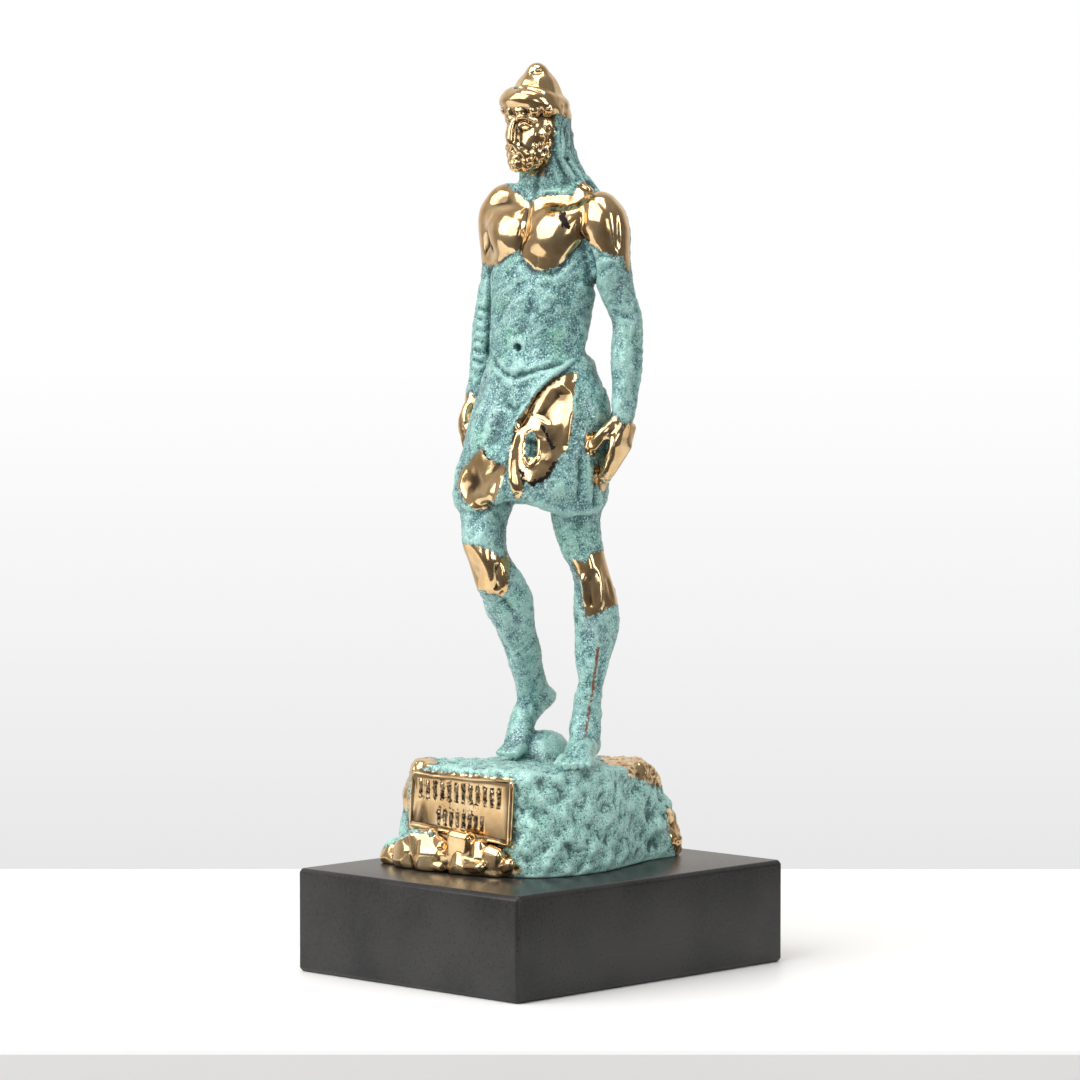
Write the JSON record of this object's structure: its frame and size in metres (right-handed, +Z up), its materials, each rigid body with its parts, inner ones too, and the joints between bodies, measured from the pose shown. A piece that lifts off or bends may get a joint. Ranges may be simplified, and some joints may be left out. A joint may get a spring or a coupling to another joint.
{
  "type": "bronze statuette",
  "caption": "Standing bronze figure in a felt cap and wrapped cloth, striding on a rock with a plaque of plain strokes, on a rectangular stone plinth.",
  "frame": {"origin": "middle of the plinth's underside", "axes": "+Z up; -Y to the front, the side of the plaque; +X to the figure's left"},
  "size_m": [0.08, 0.1, 0.2354],
  "materials": {
    "bronze": "cast bronze with green patina, parts of it polished bright",
    "stone": "black stone, honed satin"
  },
  "bodies": {
    "root": {"bronze_casting": "bronze", "plinth": "stone"}
  },
  "joints": []
}
